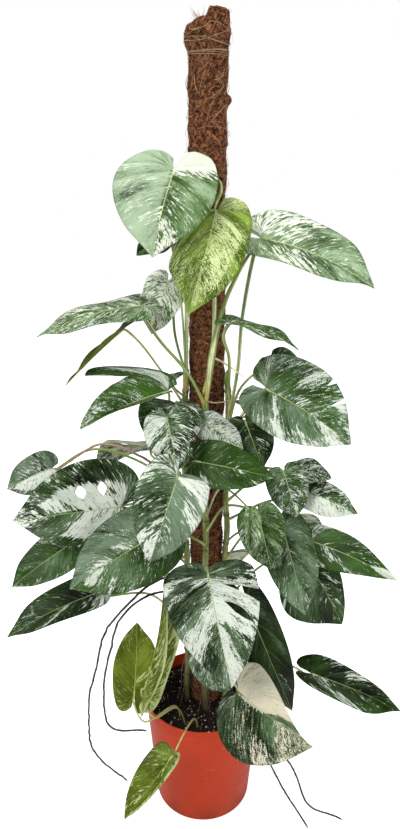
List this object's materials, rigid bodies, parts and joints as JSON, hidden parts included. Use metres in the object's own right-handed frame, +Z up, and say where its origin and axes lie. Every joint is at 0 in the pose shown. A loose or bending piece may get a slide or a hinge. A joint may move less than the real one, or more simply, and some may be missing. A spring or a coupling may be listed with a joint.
{
  "type": "potted variegated monstera deliciosa",
  "caption": "Tall house plant with white-splashed heart-shaped leaves that climbs a coir pole in a tapered round nursery pot filled with soil.",
  "frame": {"origin": "centre of the pot's flat underside", "axes": "+Z up along the pole, -Y towards the front, the side with the lime leaf, +X to the right seen from the front"},
  "size_m": [0.7844, 0.5267, 1.584],
  "materials": {
    "pot_plastic": "satin",
    "potting_mix": "matte",
    "coir": "matte",
    "stake_wood": "matte",
    "twine": "matte",
    "stem_skin": "satin",
    "leaf_blade": "satin",
    "leaf_blade_lime": "satin",
    "leaf_blade_olive": "satin",
    "aerial_root": "matte"
  },
  "bodies": {
    "root": {"pot": "pot_plastic", "potting_soil": "potting_mix", "coir_pole": "coir", "pole_core": "stake_wood", "pole_twine": "twine", "stem_front": "stem_skin", "stem_left": "stem_skin", "stem_right": "stem_skin", "stem_back": "stem_skin", "leaf_01": "leaf_blade", "leaf_02": "leaf_blade_lime", "leaf_03": "leaf_blade", "leaf_04": "leaf_blade", "leaf_05": "leaf_blade", "leaf_06": "leaf_blade", "leaf_07": "leaf_blade", "leaf_08": "leaf_blade", "leaf_09": "leaf_blade", "leaf_10": "leaf_blade", "leaf_11": "leaf_blade", "leaf_12": "leaf_blade", "leaf_13": "leaf_blade", "leaf_14": "leaf_blade", "leaf_15": "leaf_blade", "leaf_16": "leaf_blade", "leaf_17": "leaf_blade", "leaf_18": "leaf_blade", "leaf_19": "leaf_blade", "leaf_20": "leaf_blade", "leaf_21": "leaf_blade", "leaf_22": "leaf_blade", "leaf_23": "leaf_blade", "leaf_24": "leaf_blade", "leaf_25": "leaf_blade", "leaf_26": "leaf_blade", "leaf_27": "leaf_blade", "leaf_28": "leaf_blade", "leaf_29": "leaf_blade", "leaf_30": "leaf_blade_olive", "leaf_31": "leaf_blade_olive", "leaf_32": "leaf_blade", "leaf_33": "leaf_blade", "leaf_34": "leaf_blade", "leaf_35": "leaf_blade", "leaf_36": "leaf_blade", "leaf_37": "leaf_blade", "leaf_38": "leaf_blade", "leaf_39": "leaf_blade", "leaf_40": "leaf_blade", "leaf_41": "leaf_blade", "leaf_42": "leaf_blade", "leaf_43": "leaf_blade", "leaf_44": "leaf_blade", "leaf_45": "leaf_blade", "leaf_46": "leaf_blade", "aerial_root_left_long": "aerial_root", "aerial_root_left_hooked": "aerial_root", "aerial_root_floor_inner": "aerial_root", "aerial_root_floor_outer": "aerial_root", "aerial_root_over_leaves": "aerial_root"}
  },
  "joints": []
}
